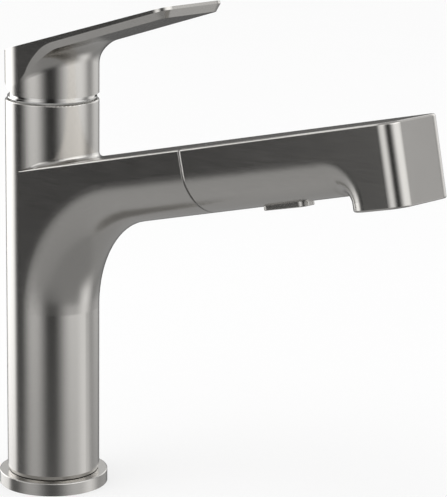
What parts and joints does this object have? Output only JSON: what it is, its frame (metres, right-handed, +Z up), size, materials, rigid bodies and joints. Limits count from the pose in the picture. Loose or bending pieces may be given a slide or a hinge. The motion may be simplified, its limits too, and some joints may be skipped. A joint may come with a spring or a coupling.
{
  "type": "pull-out kitchen faucet",
  "caption": "Kitchen faucet with a straight swivel body, a rising spout ending in a pull-out spray head with a mode button, a flat lever handle and its deck fixing.",
  "frame": {"origin": "on the column axis at the deck surface, under the base ring", "axes": "+Z up along the column, +X along the spout, +Y to the spout's left"},
  "size_m": [0.2473, 0.052, 0.4258],
  "materials": {
    "brushed_nickel": "finely brushed nickel",
    "polished_nickel": "polished",
    "brass": "machined",
    "copper": "drawn copper tube",
    "rubber": "black rubber",
    "silicone": "grey silicone",
    "ceramic": "ground ceramic",
    "steel": "stainless steel",
    "acetal": "moulded plastic",
    "dark_plastic": "moulded plastic",
    "button_finish": "satin metallic",
    "red_blue_plug": "gloss",
    "nylon_braid": "braided nylon"
  },
  "bodies": {
    "base": {"base_ring": "brushed_nickel", "base_seal": "rubber", "inner_column": "brass", "mounting_shank": "brass", "rubber_washer": "rubber", "clamp_washer": "steel", "mounting_nut": "brass", "clamp_screws": "steel", "cold_tube": "copper", "mixed_tube": "copper", "hot_tube": "copper", "lower_glide_ring": "acetal", "upper_glide_ring": "acetal", "glide_washer": "acetal", "cartridge_base": "acetal", "cartridge_seals": "rubber", "fixed_disc": "ceramic", "cartridge_housing": "acetal", "cartridge_nut": "brass", "trim_collar": "polished_nickel"},
    "rotor": {"cartridge_rotor": "acetal", "pivot_pin": "steel"},
    "lever": {"valve_stem": "steel", "lever_handle": "brushed_nickel", "handle_screw": "steel", "indicator_plug": "red_blue_plug"},
    "disc": {"moving_disc": "ceramic", "disc_driver": "acetal"},
    "spout": {"spout_body": "brushed_nickel", "swivel_stop_screw": "steel", "spout_guide": "acetal", "spray_hose": "nylon_braid", "lower_ferrule": "steel", "hose_connector": "brass"},
    "head": {"head_shell": "brushed_nickel", "docking_collar": "acetal", "hose_nut": "brass", "head_ferrule": "steel", "inlet_ring": "rubber", "waterway": "acetal", "check_valve": "acetal", "spray_face": "dark_plastic", "nozzle_mat": "silicone", "aerator_housing": "dark_plastic", "aerator_screen": "steel", "aerator_insert": "acetal", "button_spring": "steel"},
    "button": {"mode_button": "button_finish", "diverter_spool": "acetal", "spool_seals": "rubber"}
  },
  "joints": [
    {"name": "spout_swivel", "type": "hinge", "parent": "base", "child": "spout", "pos_m": [0, 0, 0], "axis": [0, 0, 1], "range_deg": [-55, 55]},
    {"name": "lever_turn", "type": "hinge", "parent": "base", "child": "rotor", "pos_m": [0, 0, 0.176], "axis": [0, 0, 1], "range_deg": [-50, 50]},
    {"name": "lever_lift", "type": "hinge", "parent": "rotor", "child": "lever", "pos_m": [0, 0, 0.176], "axis": [0, -1, 0], "range_deg": [0, 20]},
    {"name": "disc_slide", "type": "slide", "parent": "rotor", "child": "disc", "axis": [1, 0, 0], "range_m": [0, 0.0031]},
    {"name": "spray_pull", "type": "slide", "parent": "spout", "child": "head", "axis": [0.974, 0, 0.2267], "range_m": [0, 0.5], "deforming": ["spray_hose"]},
    {"name": "button_press", "type": "slide", "parent": "head", "child": "button", "axis": [-0.2267, 0, 0.974], "range_m": [0, 0.0015], "stiffness_N_per_m": 400, "deforming": ["button_spring"]}
  ],
  "couplings": [
    {"joint": "disc_slide", "follows": "lever_lift", "m_per_rad": 0.0086}
  ]
}
